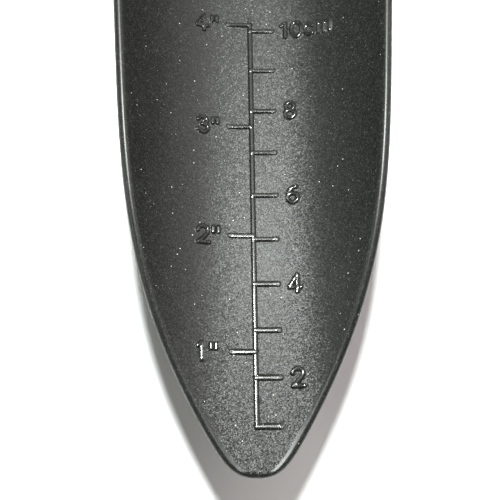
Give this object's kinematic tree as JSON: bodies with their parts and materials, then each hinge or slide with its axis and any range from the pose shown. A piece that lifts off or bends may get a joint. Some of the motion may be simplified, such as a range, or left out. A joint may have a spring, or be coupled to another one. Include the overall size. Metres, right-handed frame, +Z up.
{
  "type": "hand trowel",
  "caption": "Moulded hand trowel with a deep tapering scoop blade, a raised planting-depth scale, and a screwed two-shell handle with soft pads and a hang hole.",
  "frame": {"origin": "middle of the footprint, on the surface that the trowel lies on", "axes": "+Y from the blade's tip to the butt, +Z up out of the open side of the scoop, +X to the right seen from above with the tip towards the viewer"},
  "size_m": [0.0622, 0.3034, 0.0366],
  "materials": {
    "glass_filled_moulding": "dark grey glass-fibre-filled plastic, fine spark-eroded texture with tiny bright fibre specks",
    "handle_plastic": "satin charcoal plastic",
    "soft_grip": "soft matt elastomer with a fine ribbed texture",
    "collar_metal": "satin anodised, fine turned lines",
    "fastener_steel": "zinc-plated, satin",
    "eyelet_metal": "polished nickel-plated"
  },
  "bodies": {
    "root": {"blade": "glass_filled_moulding", "neck_collar": "collar_metal", "handle_shell_upper": "handle_plastic", "handle_shell_lower": "handle_plastic", "thumb_pad": "soft_grip", "palm_pad": "soft_grip", "finger_pad": "soft_grip", "tang_pin": "fastener_steel", "shell_screw_front": "fastener_steel", "shell_screw_middle": "fastener_steel", "shell_screw_rear": "fastener_steel", "end_cap": "handle_plastic", "hang_eyelet": "eyelet_metal"}
  },
  "joints": []
}
